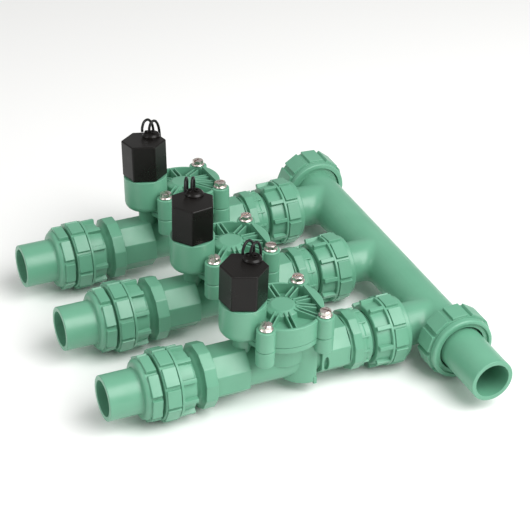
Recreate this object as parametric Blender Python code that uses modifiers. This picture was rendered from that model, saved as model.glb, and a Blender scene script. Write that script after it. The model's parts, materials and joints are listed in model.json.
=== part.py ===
"""Three-station irrigation valve manifold.

One header pipe with three tees feeds three inline solenoid diaphragm valves.
Each valve is joined by an inlet union to its tee and by an outlet union to a
plain pipe spigot.  The header has a union with a spigot at its front end and
a screwed cap at its back end.

Inside this file every length is in millimetres and every angle in degrees;
the helpers turn them into metres.  The flow runs along -X, from the header to
the spigots, the header runs along Y, and Z is up.  The object stands on its
union nuts at Z = 0, and the origin is below the middle of its box.
"""
import math

import bmesh
import bpy
from mathutils import Matrix, Vector

MM = 0.001
GAP = 0.3                      # clearance between pieces that touch

# ---- driving dimensions -------------------------------------------------
PIPE_RADIUS = 16.7             # 33.4 mm pipe, nominal one inch
PIPE_BORE = 13.2
HEADER_RADIUS = 17.0
TEE_RADIUS = 16.5
VALVE_PITCH = 92.0             # between neighbouring valves
VALVE_ROLLS = (1.5, 0.0, -5.3)  # each valve sits slightly turned on its unions
HEADER_X = 127.6               # header axis, from the middle of a bonnet
SPIGOT_END_X = -136.5
HEADER_SPIGOT_Y = -87.1        # open end of the inlet spigot
HEADER_CAP_Y = 203.0           # open face of the end cap

# union nuts: a turned shell with ten flat grip pads
NUT_RADIUS = 24.9
NUT_BORE = 20.7
THREAD_RADIUS = 20.3
PAD_COUNT = 10
PAD_REACH = 26.2               # from the axis to a pad's flat
PAD_WIDTH = 12.4
OUTLET_NUT_CLOCKS = (47.0, 44.0, 46.0)
INLET_NUT_CLOCKS = (57.0, 63.0, 60.0)
HEADER_NUT_CLOCK = 129.0
CAP_CLOCK = 123.0

# valve body and bonnet
BOSS_RADIUS = 20.3             # circumradius of the octagonal end bosses
BODY_TUBE_RADIUS = 16.3
OUTLET_BOSS_X = (-57.2, -31.0)
INLET_BOSS_X = (25.2, 48.4)
BOWL_RADIUS = 30.0
LUG_OFFSET = 23.0              # screws on a 46 mm square
LUG_RADIUS = 7.0
LUG_FOOT_Z = 15.5
PARTING_Z = 28.0
BONNET_FOOT_Z = PARTING_Z + GAP
RIM_Z = 44.2
SHELF_Z = 46.6                  # a raised shelf on the rim, on the inlet side
LUG_TOP_Z = 45.1
HUB_Z = 46.0
HUB_RADIUS = 13.0
DISH_FLOOR_Z = 36.0
DISH_RADIUS = 27.4
SEAT_Z = 17.0

# solenoid, its cup on the bonnet and its leads
SOLENOID_X = -30.9
CUP_RADIUS = 16.9
CUP_FOOT_Z = 30.2
CUP_TOP_Z = 57.2
SOLENOID_TOP_Z = 86.9
SOLENOID_RADIUS = 17.6         # circumradius of the hexagon
SOLENOID_TURNS = (-21.6, 8.4, -21.2)
LEAD_RADIUS = 1.05
GROMMET_PLACE = (6.0, 7.2)     # from the solenoid's axis
GROMMET_RADIUS = 7.0
GROMMET_HEIGHT = 2.6

ROUND = 20                     # sides of an ordinary round piece
INNER = 12                     # sides of hidden bores
NUT_SIDES = 2 * PAD_COUNT
SMALL = 10                     # sides of small round pieces


def pad_reach(clock, direction):
    """How far the pads of a nut reach along a direction, in its own turning plane."""
    corner = math.hypot(PAD_REACH, PAD_WIDTH / 2)
    half = math.degrees(math.atan2(PAD_WIDTH / 2, PAD_REACH))
    pitch = 360 / PAD_COUNT
    angles = [clock + pitch * n + side * half for n in range(PAD_COUNT) for side in (-1, 1)]
    return max(corner * math.cos(math.radians(angle - direction)) for angle in angles)


def nut_drops():
    """How far each nut reaches below its own axis."""
    drops = [pad_reach(clock - roll, -90) for clock, roll in zip(OUTLET_NUT_CLOCKS, VALVE_ROLLS)]
    drops += [pad_reach(clock - roll, -90) for clock, roll in zip(INLET_NUT_CLOCKS, VALVE_ROLLS)]
    drops += [pad_reach(HEADER_NUT_CLOCK, -90), pad_reach(CAP_CLOCK, -90)]
    return drops


CAP_LENGTH = 24.0
RIGHT_EXTENT = HEADER_X + max(pad_reach(HEADER_NUT_CLOCK, 0), pad_reach(CAP_CLOCK, 0))
BACK_EXTENT = HEADER_CAP_Y + CAP_LENGTH
AXIS_HEIGHT = max(nut_drops())
CENTRE_X = (SPIGOT_END_X + RIGHT_EXTENT) / 2
CENTRE_Y = (HEADER_SPIGOT_Y + BACK_EXTENT) / 2


# ---- scene and helpers --------------------------------------------------
for old in list(bpy.data.objects):
    bpy.data.objects.remove(old, do_unlink=True)


def new_collection(name):
    collection = bpy.data.collections.new(name)
    bpy.context.scene.collection.children.link(collection)
    return collection


PARTS = new_collection("valve_manifold")
TOOLS = new_collection("cutters")


def material(name, colour, roughness, metallic=0.0):
    made = bpy.data.materials.new(name)
    made.use_nodes = True
    shader = made.node_tree.nodes["Principled BSDF"]
    shader.inputs["Base Color"].default_value = (*colour, 1.0)
    shader.inputs["Roughness"].default_value = roughness
    shader.inputs["Metallic"].default_value = metallic
    return made


GREEN = material("green_plastic", (0.135, 0.38, 0.235), 0.42)
BLACK = material("black_plastic", (0.012, 0.012, 0.011), 0.38)
STEEL = material("screw_steel", (0.62, 0.58, 0.54), 0.32, 1.0)
SPRING_STEEL = material("spring_steel", (0.55, 0.55, 0.56), 0.3, 1.0)
RUBBER = material("black_rubber", (0.02, 0.02, 0.02), 0.75)
IRON = material("plunger_iron", (0.45, 0.45, 0.46), 0.28, 1.0)
LEAD_JACKET = material("lead_jacket", (0.008, 0.008, 0.008), 0.45)

AXIS_TURNS = {
    "Z": Matrix.Identity(4),
    "X": Matrix.Rotation(math.radians(90), 4, "Y"),
    "Y": Matrix.Rotation(math.radians(-90), 4, "X"),
}


def spin(axis, angle):
    return Matrix.Rotation(math.radians(angle), 4, axis)


def empty(name, place, parent=None, roll=0.0):
    made = bpy.data.objects.new(name, None)
    made.empty_display_size = 0.02
    made.location = Vector(place) * MM
    made.rotation_euler = (math.radians(roll), 0, 0)
    made.parent = parent
    TOOLS.objects.link(made)
    return made


def part(name, mesh, parent, look, place=(0, 0, 0), turn=0.0):
    """Makes a mesh a named piece, at a place in its parent and turned about its Z axis."""
    made = bpy.data.objects.new(name, mesh)
    made.location = Vector(place) * MM
    made.rotation_euler = (0, 0, math.radians(turn))
    made.parent = parent
    mesh.materials.append(look)
    mesh.shade_smooth()
    mesh.set_sharp_from_angle(angle=math.radians(35))
    PARTS.objects.link(made)
    return made


def tool(name, mesh, parent, place=(0, 0, 0)):
    made = bpy.data.objects.new(name, mesh)
    made.location = Vector(place) * MM
    made.parent = parent
    made.hide_render = True
    made.display_type = "WIRE"
    TOOLS.objects.link(made)
    return made


def boolean(target, helper, operation):
    step = target.modifiers.new(helper.name, "BOOLEAN")
    step.operation = operation
    step.object = helper
    step.solver = "EXACT"
    return target


def cut(target, helper):
    return boolean(target, helper, "DIFFERENCE")


def join(target, helper):
    return boolean(target, helper, "UNION")


def solids(name, *shapes):
    """One mesh of several closed primitives, each made by a function below."""
    build = bmesh.new()
    for shape in shapes:
        shape(build)
    mesh = bpy.data.meshes.new(name)
    build.to_mesh(mesh)
    build.free()
    return mesh


def cylinder(radius, start, end, axis="Z", centre=(0, 0), sides=ROUND, turn=0.0, end_radius=None):
    """A cylinder or cone between two stations on an axis; centre is in the other two axes' order."""
    across = {"X": (0, centre[0], centre[1]), "Y": (centre[0], 0, centre[1]), "Z": (*centre, 0)}[axis]

    def build(mesh):
        middle = Vector(across)
        middle["XYZ".index(axis)] = (start + end) / 2
        place = Matrix.Translation(middle * MM) @ AXIS_TURNS[axis] @ spin("Z", turn)
        bmesh.ops.create_cone(
            mesh, cap_ends=True, segments=sides, radius1=radius * MM,
            radius2=(radius if end_radius is None else end_radius) * MM,
            depth=(end - start) * MM, matrix=place)
    return build


def block(low, high, turn=None):
    """A box between two corners; turn is a matrix in millimetres applied after placing."""
    size = Vector(high) - Vector(low)
    centre = (Vector(high) + Vector(low)) / 2

    def build(mesh):
        place = Matrix.Translation(centre * MM) @ Matrix.Diagonal((*(size * MM), 1))
        if turn is not None:
            place = turn @ place
        bmesh.ops.create_cube(mesh, size=1.0, matrix=place)
    return build


def turned(name, profile, axis="Z", sides=ROUND, start_turn=0.0):
    """A closed outline of (radius, station) points, outer side from top to bottom, spun about an axis."""
    count = len(profile)
    solid_middle = profile[0][0] == 0 and profile[-1][0] == 0
    mesh = bpy.data.meshes.new(name)
    points = [(radius * MM, 0, station * MM) for radius, station in profile]
    mesh.from_pydata(points, [(n, (n + 1) % count) for n in range(count - solid_middle)], [])
    temporary = bpy.data.objects.new(name + "_outline", mesh)
    TOOLS.objects.link(temporary)
    screw = temporary.modifiers.new("spin", "SCREW")
    screw.axis = "Z"
    screw.steps = sides
    screw.render_steps = sides
    screw.use_merge_vertices = True
    screw.merge_threshold = 0.00001
    spun = bpy.data.meshes.new_from_object(temporary.evaluated_get(bpy.context.evaluated_depsgraph_get()))
    bpy.data.objects.remove(temporary, do_unlink=True)
    tidy = bmesh.new()
    tidy.from_mesh(spun)
    bmesh.ops.remove_doubles(tidy, verts=tidy.verts, dist=0.000001)
    bmesh.ops.recalc_face_normals(tidy, faces=tidy.faces)
    tidy.to_mesh(spun)
    tidy.free()
    spun.transform(AXIS_TURNS[axis] @ spin("Z", start_turn))
    spun.name = name
    return spun


def ring(outer, inner, low, high):
    """Outline of a plain ring for turned()."""
    return [(outer, high), (outer, low), (inner, low), (inner, high)]


ROOT = empty("manifold_frame", (-CENTRE_X, -CENTRE_Y, AXIS_HEIGHT))


# ---- unions -------------------------------------------------------------
def grip(clock, axis, stations):
    """Ten flat pads round a nut, between two stations on its axis."""
    shapes = []
    for n in range(PAD_COUNT):
        angle = clock + 360 / PAD_COUNT * n
        if axis == "X":     # the clock starts at -Y and runs up
            shapes.append(block((stations[0], -PAD_REACH, -PAD_WIDTH / 2),
                                (stations[1], -NUT_RADIUS + 2.4, PAD_WIDTH / 2), spin("X", -angle)))
        else:               # the clock starts at +X and runs up
            shapes.append(block((NUT_RADIUS - 2.4, stations[0], -PAD_WIDTH / 2),
                                (PAD_REACH, stations[1], PAD_WIDTH / 2), spin("Y", -angle)))
    return shapes


def union_nut(name, parent, axis, mouth, shoulder, back, hole, clock, pads):
    """mouth is the threaded end's station, back the captured end's, shoulder the inner step's."""
    low, high = sorted((mouth, back))
    if mouth > back:
        profile = [(NUT_RADIUS, high), (NUT_RADIUS, low), (hole, low), (hole, shoulder),
                   (NUT_BORE, shoulder), (NUT_BORE, high)]
    else:
        profile = [(NUT_RADIUS, high), (NUT_RADIUS, low), (NUT_BORE, low), (NUT_BORE, shoulder),
                   (hole, shoulder), (hole, high)]
    start = -clock if axis == "X" else 90 - clock
    nut = part(name, turned(name, profile, axis, NUT_SIDES, start), parent, GREEN)
    return join(nut, tool(name + "_pads", solids(name + "_pads", *grip(clock, axis, pads)), parent))


COLLAR_X = (-112.0, -99.0)
COLLAR_RADIUS = 22.2
COLLAR_PAD_REACH = 24.0
COLLAR_CLOCK = 39.0             # one wrench pad's middle, from -Y upwards
COLLAR_PADS = 8
OUTLET_NUT_X = (-98.2, -75.0)
OUTLET_JOINT_X = -85.0          # where the spigot's face meets the tailpiece's


def outlet_spigot(name, parent):
    profile = [
        (THREAD_RADIUS, OUTLET_JOINT_X - GAP), (THREAD_RADIUS, COLLAR_X[1]), (COLLAR_RADIUS, COLLAR_X[1]),
        (COLLAR_RADIUS, COLLAR_X[0] + 3.0), (PIPE_RADIUS, COLLAR_X[0]), (PIPE_RADIUS, SPIGOT_END_X),
        (PIPE_BORE, SPIGOT_END_X), (PIPE_BORE, OUTLET_JOINT_X - GAP)]
    spigot = part(name, turned(name, profile, "X"), parent, GREEN)
    pads = [block((COLLAR_X[0] + 4.5, -COLLAR_PAD_REACH, -7.1), (COLLAR_X[1] - 0.6, -19.0, 7.1),
                  spin("X", -COLLAR_CLOCK - 360 / COLLAR_PADS * n)) for n in range(COLLAR_PADS)]
    return join(spigot, tool(name + "_wrench_pads", solids(name + "_wrench_pads", *pads), parent))


FLANGE_RADIUS = 24.6            # circumradius of the twelve-sided wrench ring
NECK_RADIUS = 20.4
TAIL_NECK_RADIUS = 17.2         # where the nut turns on the tailpiece
FLANGE_DEPTH = 3.0              # the shoulder that the nut pulls on
MALE_RADIUS = 14.5              # threaded tail in the valve's boss
FLOW_BORE = 11.0


def outlet_tailpiece(name, parent):
    profile = [
        (0, -39.0), (MALE_RADIUS, -39.0), (MALE_RADIUS, -58.6), (NECK_RADIUS, -58.6),
        (NECK_RADIUS, -69.0), (TAIL_NECK_RADIUS, -71.5), (TAIL_NECK_RADIUS, OUTLET_JOINT_X + FLANGE_DEPTH),
        (THREAD_RADIUS, OUTLET_JOINT_X + FLANGE_DEPTH), (THREAD_RADIUS, OUTLET_JOINT_X), (0, OUTLET_JOINT_X)]
    piece = part(name, turned(name, profile, "X"), parent, GREEN)
    wrench_ring = turned(name + "_ring", [
        (0, -58.0), (FLANGE_RADIUS, -58.0), (FLANGE_RADIUS, -67.5), (NECK_RADIUS - 0.4, -72.0), (0, -72.0)],
        "X", 12, 15)
    join(piece, tool(name + "_ring", wrench_ring, parent))
    bore = solids(name + "_bore", cylinder(FLOW_BORE, -90, -30, "X", sides=INNER))
    return cut(piece, tool(name + "_bore", bore, parent))


INLET_NUT_X = (68.6, 97.0)
INLET_JOINT_X = 83.4            # where the tee's face meets the tailpiece's
INLET_RING_X = (51.0, 62.0)


def inlet_tailpiece(name, parent):
    profile = [
        (0, INLET_JOINT_X - GAP), (THREAD_RADIUS, INLET_JOINT_X - GAP),
        (THREAD_RADIUS, INLET_JOINT_X - FLANGE_DEPTH), (TAIL_NECK_RADIUS, INLET_JOINT_X - FLANGE_DEPTH),
        (TAIL_NECK_RADIUS, 68.0), (NECK_RADIUS, 68.0), (NECK_RADIUS, INLET_RING_X[0] + 0.6),
        (MALE_RADIUS, INLET_RING_X[0] + 0.6), (MALE_RADIUS, 31.5), (0, 31.5)]
    piece = part(name, turned(name, profile, "X"), parent, GREEN)
    wrench_ring = solids(name + "_ring", cylinder(
        FLANGE_RADIUS - 0.8, *INLET_RING_X, "X", sides=12, turn=15))
    join(piece, tool(name + "_ring", wrench_ring, parent))
    bore = solids(name + "_bore", cylinder(FLOW_BORE, 20, 90, "X", sides=INNER))
    return cut(piece, tool(name + "_bore", bore, parent))


# ---- valve --------------------------------------------------------------
LUGS = [(sx * LUG_OFFSET, sy * LUG_OFFSET) for sx in (-1, 1) for sy in (-1, 1)]
SCREW_HOLE = 2.5
FLANGE_FOOT_Z = 23.6            # the bowl's flange ends here
BOWL_WALL_RADIUS = 19.5         # below the flange
STEM_RADIUS = 6.6               # pilot passage from the cup down to the outlet
CHAMBER_RADIUS = 17.0
BONNET_CHAMBER_RADIUS = 21.5
SOCKET_RADIUS = MALE_RADIUS + 0.4
INLET_CHAMBER_X = 17.5          # axis of the rounded chamber under the inlet side
INLET_CHAMBER_RADIUS = 19.0
INLET_CHAMBER_END = 21.5
SIDE_RECESS_PLACE = (29.0, 0, -3.0)   # a shallow oval on the inlet boss


def valve_body(name, parent):
    tube = cylinder(BODY_TUBE_RADIUS, OUTLET_BOSS_X[1] - 4, INLET_BOSS_X[0] + 4, "X")
    body = part(name, solids(name, tube), parent, GREEN)
    for n, stations in enumerate((OUTLET_BOSS_X, INLET_BOSS_X)):
        boss = cylinder(BOSS_RADIUS, *stations, "X", sides=8, turn=22.5)
        join(body, tool(f"{name}_boss_{n}", solids(f"{name}_boss_{n}", boss), parent))
    bowl = turned(name + "_bowl", [
        (0, PARTING_Z), (BOWL_RADIUS, PARTING_Z), (BOWL_RADIUS, FLANGE_FOOT_Z),
        (BOWL_WALL_RADIUS, FLANGE_FOOT_Z - 1.0), (BOWL_WALL_RADIUS, 3.0), (0, 3.0)])
    join(body, tool(name + "_bowl", bowl, parent))
    drum = cylinder(INLET_CHAMBER_RADIUS, -16.5, FLANGE_FOOT_Z + 1.0, centre=(INLET_CHAMBER_X, 0))
    chamber = tool(name + "_chamber", solids(name + "_chamber", drum), parent)
    trim = tool(name + "_chamber_trim", solids(
        name + "_chamber_trim", block((INLET_CHAMBER_END, -25, -30), (60, 25, 30))), parent)
    cut(chamber, trim)
    join(body, chamber)
    columns = solids(name + "_columns", *[
        cylinder(LUG_RADIUS, LUG_FOOT_Z, PARTING_Z, centre=lug, sides=SMALL) for lug in LUGS])
    join(body, tool(name + "_columns", columns, parent))
    stem = solids(name + "_stem", cylinder(
        STEM_RADIUS, 10.0, PARTING_Z, centre=(SOLENOID_X, 0), sides=SMALL))
    join(body, tool(name + "_stem", stem, parent))

    recess = turned(name + "_recess", [
        (0, PARTING_Z + 5), (27.3, PARTING_Z + 5), (27.3, PARTING_Z - 1.9),
        (CHAMBER_RADIUS, PARTING_Z - 1.9), (CHAMBER_RADIUS, 12.5), (12.6, 12.5), (12.6, SEAT_Z),
        (9.6, SEAT_Z), (9.6, 2.0), (0, 2.0)], sides=INNER)
    cut(body, tool(name + "_recess", recess, parent))
    outlet = solids(name + "_outlet", cylinder(FLOW_BORE, -60, 5, "X", sides=INNER))
    cut(body, tool(name + "_outlet", outlet, parent))
    inlet = solids(name + "_inlet", cylinder(FLOW_BORE, 14.0, 60, "X", sides=INNER))
    cut(body, tool(name + "_inlet", inlet, parent))
    riser = solids(name + "_riser", block((13.8, -9, -4), (18.6, 9, 20)))
    cut(body, tool(name + "_riser", riser, parent))
    sockets = solids(name + "_sockets",
                     cylinder(SOCKET_RADIUS, -60, -38.4, "X"), cylinder(SOCKET_RADIUS, 30.8, 60, "X"))
    cut(body, tool(name + "_sockets", sockets, parent))
    holes = solids(name + "_screw_holes", *[
        cylinder(SCREW_HOLE, LUG_FOOT_Z + 1.5, PARTING_Z + 5, centre=lug, sides=6) for lug in LUGS])
    cut(body, tool(name + "_screw_holes", holes, parent))
    side_recess = solids(name + "_side_recess", cylinder(1.0, -24, -16.6, "Y", sides=SMALL))
    side_recess.transform(
        Matrix.Translation(Vector(SIDE_RECESS_PLACE) * MM) @ Matrix.Diagonal((2.1, 1, 6.0, 1)))
    return cut(body, tool(name + "_side_recess", side_recess, parent))


def rib_pair(angle):
    """Two parallel stiffening ribs from the hub to the rim, sloping down outwards."""
    outer = 26.9
    shapes = []
    for side in (-1, 1):
        def build(mesh, side=side):
            made = bmesh.ops.create_cube(mesh, size=1.0)["verts"]
            for corner in made:
                outward = corner.co.x > 0
                height = (RIM_Z - 0.6 if outward else HUB_Z - 0.5) if corner.co.z > 0 else DISH_FLOOR_Z - 1
                corner.co = spin("Z", angle) @ (Vector((
                    outer if outward else HUB_RADIUS - 2, side * 1.75 + corner.co.y * 1.2, height)) * MM)
        shapes.append(build)
    return shapes


RIB_ANGLES = (-135, -45, 45, 135)


def bonnet(name, parent):
    body = part(name, solids(name, cylinder(BOWL_RADIUS, BONNET_FOOT_Z, RIM_Z)), parent, GREEN)
    ledge = tool(name + "_ledge", solids(name + "_ledge", cylinder(BOWL_RADIUS, RIM_Z - 3, SHELF_Z)), parent)
    for side, low, high in (("left", (-40, -40), (23.0, 40)), ("front", (10, -40), (40, -14)),
                            ("back", (10, 14), (40, 40))):
        away = f"{name}_ledge_{side}"
        cut(ledge, tool(away, solids(away, block((*low, 30), (*high, 60))), parent))
    join(body, ledge)
    lugs = solids(name + "_lugs", *[
        cylinder(LUG_RADIUS, BONNET_FOOT_Z, LUG_TOP_Z, centre=lug, sides=SMALL) for lug in LUGS])
    join(body, tool(name + "_lugs", lugs, parent))
    dish = turned(name + "_dish", ring(DISH_RADIUS, HUB_RADIUS - 1.5, DISH_FLOOR_Z, RIM_Z + 8))
    dish_tool = tool(name + "_dish", dish, parent)
    shelf = solids(name + "_shelf", block((23.0, -14, 20), (40, 14, 60)))
    cut(dish_tool, tool(name + "_shelf", shelf, parent))
    cut(body, dish_tool)
    hub = turned(name + "_hub", [(0, HUB_Z), (HUB_RADIUS - 2.5, HUB_Z), (HUB_RADIUS, HUB_Z - 1.6),
                                 (HUB_RADIUS, DISH_FLOOR_Z - 1), (0, DISH_FLOOR_Z - 1)])
    join(body, tool(name + "_hub", hub, parent))
    for angle in RIB_ANGLES:
        ribs = f"{name}_ribs_{angle % 360}"
        join(body, tool(ribs, solids(ribs, *rib_pair(angle)), parent))
    cup = turned(name + "_cup", [
        (0, CUP_TOP_Z), (CUP_RADIUS, CUP_TOP_Z), (CUP_RADIUS, CUP_FOOT_Z + 6.0),
        (CUP_RADIUS - 2.4, CUP_FOOT_Z + 2.0), (CUP_RADIUS - 6.5, CUP_FOOT_Z), (STEM_RADIUS, CUP_FOOT_Z),
        (STEM_RADIUS, BONNET_FOOT_Z), (0, BONNET_FOOT_Z)])
    join(body, tool(name + "_cup", cup, parent, (SOLENOID_X, 0, 0)))
    cavity = turned(name + "_cavity", [
        (0, HUB_Z - 2.6), (10.6, HUB_Z - 2.6), (10.6, DISH_FLOOR_Z - 2.4),
        (BONNET_CHAMBER_RADIUS, DISH_FLOOR_Z - 2.4), (BONNET_CHAMBER_RADIUS, BONNET_FOOT_Z - 3),
        (0, BONNET_FOOT_Z - 3)], sides=INNER)
    cut(body, tool(name + "_cavity", cavity, parent))
    well = turned(name + "_well", [(0, CUP_TOP_Z + 5), (13.6, CUP_TOP_Z + 5), (13.6, 38.0), (2.0, 38.0),
                                   (2.0, CUP_FOOT_Z - 5), (0, CUP_FOOT_Z - 5)], sides=INNER)
    cut(body, tool(name + "_well", well, parent, (SOLENOID_X, 0, 0)))
    holes = solids(name + "_screw_holes", *[
        cylinder(SCREW_HOLE, BONNET_FOOT_Z - 4, LUG_TOP_Z + 6, centre=lug, sides=6) for lug in LUGS])
    return cut(body, tool(name + "_screw_holes", holes, parent))


WASHER_RADIUS = 5.2


def bonnet_screw(name, parent, lug, turn):
    shaft = turned(name, [
        (0, LUG_TOP_Z + 1.3), (WASHER_RADIUS, LUG_TOP_Z + 1.3), (WASHER_RADIUS, LUG_TOP_Z + GAP),
        (2.1, LUG_TOP_Z + GAP), (2.1, LUG_FOOT_Z + 3), (0, LUG_FOOT_Z + 3)], sides=6)
    screw = part(name, shaft, parent, STEEL, (*lug, 0), turn)
    head = solids(name + "_head", cylinder(4.6, LUG_TOP_Z + 0.8, LUG_TOP_Z + 4.9, sides=6))
    join(screw, tool(name + "_head", head, screw))
    slot = solids(name + "_slot", block((-6, -0.7, LUG_TOP_Z + 3.2), (6, 0.7, LUG_TOP_Z + 8)))
    return cut(screw, tool(name + "_slot", slot, screw))


SPRING_FOOT_Z = 30.4
SPRING_HEAD_Z = HUB_Z - 3.0


def poppet(name, parent):
    profile = [(0, 33.5), (2.6, 33.5), (2.6, 30.0), (9.9, 30.0), (9.9, 28.6), (3.6, 28.6),
               (3.6, 26.0), (12.0, 26.0), (12.0, SEAT_Z + GAP), (0, SEAT_Z + GAP)]
    return part(name, turned(name, profile, sides=INNER), parent, BLACK)


def diaphragm(name, parent):
    web = ring(26.9, 12.6, PARTING_Z - 1.6, PARTING_Z - GAP)
    return part(name, turned(name, web, sides=INNER), parent, RUBBER)


def diaphragm_spring(name, parent, turns=3.5, per_turn=8, radius=7.0, wire=0.55):
    curve = bpy.data.curves.new(name, "CURVE")
    curve.dimensions = "3D"
    curve.bevel_depth = wire * MM
    curve.bevel_resolution = 0
    curve.use_fill_caps = True
    count = int(turns * per_turn) + 1
    path = curve.splines.new("POLY")
    path.points.add(count - 1)
    low, high = SPRING_FOOT_Z + wire, SPRING_HEAD_Z - wire
    for n, point in enumerate(path.points):
        angle = 2 * math.pi * n / per_turn
        height = low + (high - low) * n / (count - 1)
        point.co = (*(Vector((radius * math.cos(angle), radius * math.sin(angle), height)) * MM), 1)
    spring = bpy.data.objects.new(name, curve)
    spring.parent = parent
    curve.materials.append(SPRING_STEEL)
    PARTS.objects.link(spring)
    return spring


# ---- solenoid -----------------------------------------------------------
CHAMFER = 1.2                   # round the top of the solenoid
NECK_FOOT_Z = 38.6
PLUNGER_FOOT_Z = 38.3


def solenoid(name, parent, turn):
    can = cylinder(SOLENOID_RADIUS, CUP_TOP_Z + GAP, SOLENOID_TOP_Z - CHAMFER, sides=6, turn=30)
    body = part(name, solids(name, can), parent, BLACK, (SOLENOID_X, 0, 0), turn)
    crown = solids(name + "_crown", cylinder(
        SOLENOID_RADIUS, SOLENOID_TOP_Z - CHAMFER, SOLENOID_TOP_Z, sides=6, turn=30,
        end_radius=SOLENOID_RADIUS - CHAMFER))
    join(body, tool(name + "_crown", crown, body))
    neck = solids(name + "_neck", cylinder(12.6, NECK_FOOT_Z, CUP_TOP_Z + 4, sides=INNER))
    join(body, tool(name + "_neck", neck, body))
    grommet = solids(name + "_grommet", cylinder(
        GROMMET_RADIUS, SOLENOID_TOP_Z - 3, SOLENOID_TOP_Z + GROMMET_HEIGHT, sides=SMALL,
        centre=GROMMET_PLACE))
    join(body, tool(name + "_grommet", grommet, body))
    bore = solids(name + "_bore", cylinder(4.9, NECK_FOOT_Z - 5, 76.0, sides=SMALL))
    return cut(body, tool(name + "_bore", bore, body))


def plunger(name, parent):
    profile = [(0, 70.0), (4.5, 70.0), (4.5, 42.0), (3.0, 40.6), (3.0, PLUNGER_FOOT_Z), (0, PLUNGER_FOOT_Z)]
    return part(name, turned(name, profile, sides=SMALL), parent, IRON, (SOLENOID_X, 0, 0))


LEAD_START_Z = SOLENOID_TOP_Z + GROMMET_HEIGHT + GAP
LEAD_ROUTES = {
    "a": ((2.6, 8.6, LEAD_START_Z), (2.8, 9.0, 93.0), (5.2, 10.6, 97.0), (9.6, 13.2, 97.0),
          (13.4, 15.4, 92.0), (14.8, 16.4, 84.0), (14.6, 16.6, 74.0), (13.8, 16.2, 63.0)),
    "b": ((7.6, 6.6, LEAD_START_Z), (8.0, 7.0, 93.0), (10.2, 8.2, 96.6), (14.2, 10.2, 96.2),
          (17.2, 11.8, 91.0), (18.4, 12.6, 83.0), (18.4, 12.6, 73.0), (18.0, 12.2, 62.0)),
}


def smooth_route(points, per_span=2):
    """Catmull-Rom curve through the route's points."""
    ends = [2 * Vector(points[0]) - Vector(points[1]), 2 * Vector(points[-1]) - Vector(points[-2])]
    line = [ends[0], *[Vector(point) for point in points], ends[1]]
    smooth = []
    for n in range(1, len(line) - 2):
        before, here, there, after = line[n - 1:n + 3]
        for step in range(per_span):
            t = step / per_span
            square = 2 * before - 5 * here + 4 * there - after
            cube = 3 * here - before - 3 * there + after
            smooth.append(0.5 * (2 * here + (there - before) * t + square * t ** 2 + cube * t ** 3))
    return smooth + [line[-2]]


def lead(name, parent, route, turn):
    curve = bpy.data.curves.new(name, "CURVE")
    curve.dimensions = "3D"
    curve.bevel_depth = LEAD_RADIUS * MM
    curve.bevel_resolution = 2
    curve.use_fill_caps = True
    points = smooth_route(route)
    path = curve.splines.new("POLY")
    path.points.add(len(points) - 1)
    for target, point in zip(path.points, points):
        target.co = (*(point * MM), 1)
    made = bpy.data.objects.new(name, curve)
    made.location = Vector((SOLENOID_X, 0, 0)) * MM
    made.rotation_euler = (0, 0, math.radians(turn))
    made.parent = parent
    curve.materials.append(LEAD_JACKET)
    PARTS.objects.link(made)
    return made


# ---- header -------------------------------------------------------------
FRONT_NUT_Y = (-45.0, -22.3)
FRONT_JOINT_Y = -32.0
CAP_THREAD_Y = HEADER_CAP_Y + 14.0


def header_manifold(name, parent):
    length = (FRONT_JOINT_Y + GAP, CAP_THREAD_Y)
    profile = [
        (THREAD_RADIUS, length[1]), (THREAD_RADIUS, HEADER_CAP_Y + 2.0), (HEADER_RADIUS, HEADER_CAP_Y + 2.0),
        (HEADER_RADIUS, FRONT_NUT_Y[1] - 1.0), (THREAD_RADIUS, FRONT_NUT_Y[1] - 1.0),
        (THREAD_RADIUS, length[0]), (PIPE_BORE, length[0]), (PIPE_BORE, length[1])]
    header = part(name, turned(name, profile, "Y"), parent, GREEN, (HEADER_X, 0, 0))
    for n in range(len(VALVE_ROLLS)):
        centre = (VALVE_PITCH * n, 0)
        tee = solids(f"{name}_tee_{n}",
                     cylinder(TEE_RADIUS, INLET_NUT_X[1] - 5, HEADER_X, "X", centre))
        join(header, tool(f"{name}_tee_{n}", tee, parent))
        thread = solids(f"{name}_thread_{n}",
                        cylinder(THREAD_RADIUS, INLET_JOINT_X, INLET_NUT_X[1] - 0.6, "X", centre))
        join(header, tool(f"{name}_thread_{n}", thread, parent))
    ports = solids(name + "_ports", *[
        cylinder(FLOW_BORE, INLET_JOINT_X - 8, HEADER_X, "X", (VALVE_PITCH * n, 0), sides=INNER)
        for n in range(len(VALVE_ROLLS))])
    cut(header, tool(name + "_ports", ports, parent))
    return header


def header_spigot(name, parent):
    profile = [
        (THREAD_RADIUS, FRONT_JOINT_Y), (THREAD_RADIUS, FRONT_JOINT_Y - FLANGE_DEPTH),
        (PIPE_RADIUS, FRONT_JOINT_Y - FLANGE_DEPTH), (PIPE_RADIUS, HEADER_SPIGOT_Y),
        (PIPE_BORE, HEADER_SPIGOT_Y), (PIPE_BORE, FRONT_JOINT_Y)]
    return part(name, turned(name, profile, "Y"), parent, GREEN, (HEADER_X, 0, 0))


def end_cap(name, parent):
    back = HEADER_CAP_Y + CAP_LENGTH
    profile = [(0, back), (NUT_RADIUS, back), (NUT_RADIUS, HEADER_CAP_Y), (NUT_BORE, HEADER_CAP_Y),
               (NUT_BORE, back - 4.0), (0, back - 4.0)]
    cap = part(name, turned(name, profile, "Y", NUT_SIDES, 90 - CAP_CLOCK), parent, GREEN, (HEADER_X, 0, 0))
    pads = solids(name + "_pads", *grip(CAP_CLOCK, "Y", (HEADER_CAP_Y + 4.6, back - 0.6)))
    return join(cap, tool(name + "_pads", pads, parent, (HEADER_X, 0, 0)))


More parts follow.
